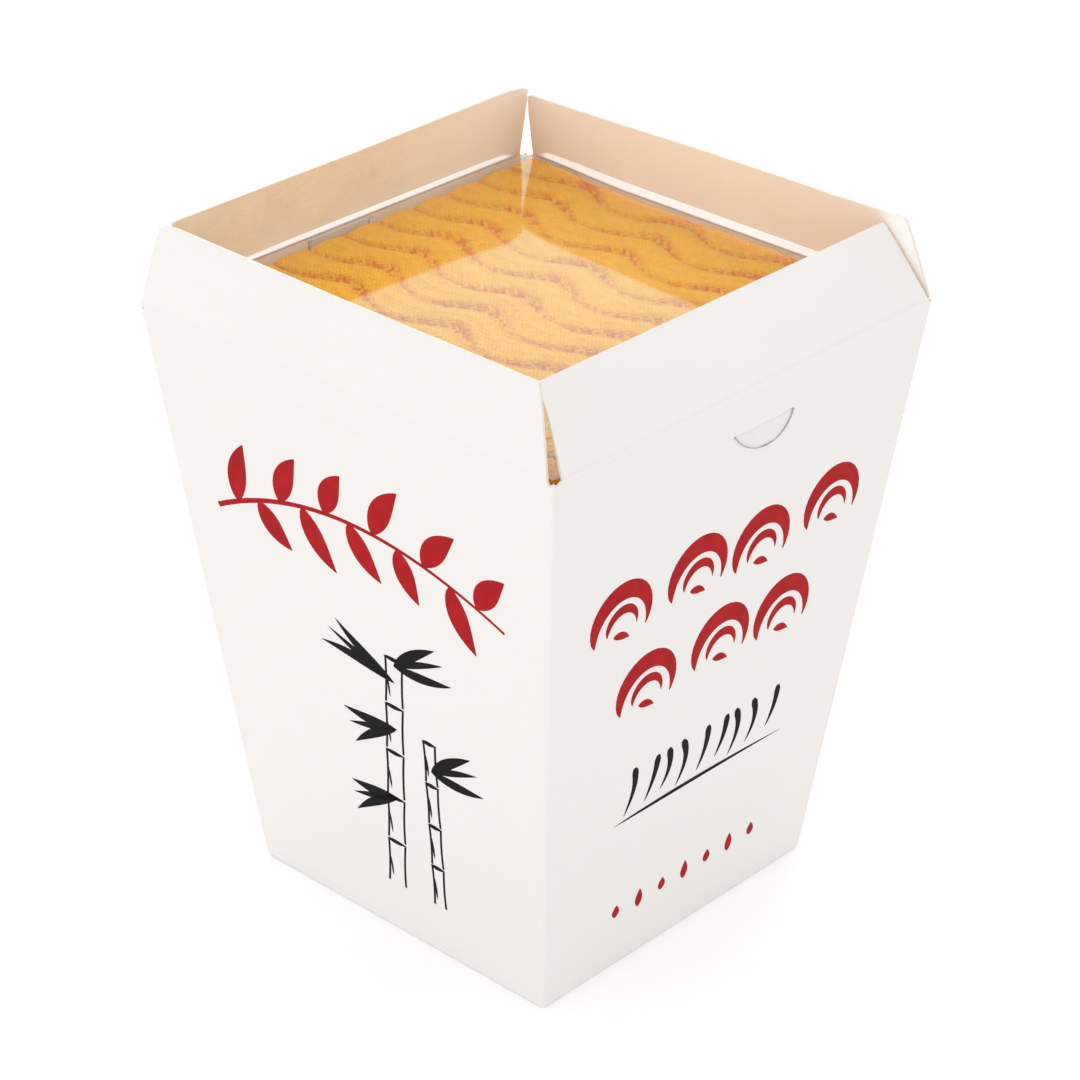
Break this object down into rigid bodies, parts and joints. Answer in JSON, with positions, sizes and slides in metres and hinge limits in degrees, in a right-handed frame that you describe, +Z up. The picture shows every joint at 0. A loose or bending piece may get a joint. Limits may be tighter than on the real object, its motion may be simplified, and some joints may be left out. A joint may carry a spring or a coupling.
{
  "type": "noodle takeaway box of folded socks",
  "caption": "Square tapered board carton with a fold-up collar, a clear tucked-in film lid and a folded bundle of wave-knit yellow socks that look like noodles.",
  "frame": {"origin": "middle of the base, on the surface that the carton stands on", "axes": "+Z up; the front panel, which has the half-moon film tab that the picture shows, faces -Y; the panel with the long slit faces -X"},
  "size_m": [0.104, 0.104, 0.1385],
  "materials": {
    "white_board": "matt white outside, brown kraft inside",
    "clear_film": "clear and glossy",
    "yellow_yarn": "matt cotton knit"
  },
  "bodies": {
    "carton": {"carton_body": "white_board", "film_lid": "clear_film", "folded_socks": "yellow_yarn"},
    "front_flap": {"flap_front": "white_board"},
    "right_flap": {"flap_right": "white_board"},
    "back_flap": {"flap_back": "white_board"},
    "left_flap": {"flap_left": "white_board"}
  },
  "joints": [
    {"name": "front_flap_fold", "type": "hinge", "parent": "carton", "child": "front_flap", "pos_m": [0, -0.05175, 0.12175], "axis": [1, 0, 0], "range_deg": [0, 136]},
    {"name": "right_flap_fold", "type": "hinge", "parent": "carton", "child": "right_flap", "pos_m": [0.05175, 0, 0.12175], "axis": [0, 1, 0], "range_deg": [0, 120]},
    {"name": "back_flap_fold", "type": "hinge", "parent": "carton", "child": "back_flap", "pos_m": [0, 0.05175, 0.12175], "axis": [-1, 0, 0], "range_deg": [0, 119]},
    {"name": "left_flap_fold", "type": "hinge", "parent": "carton", "child": "left_flap", "pos_m": [-0.05175, 0, 0.12175], "axis": [0, -1, 0], "range_deg": [0, 111]}
  ]
}
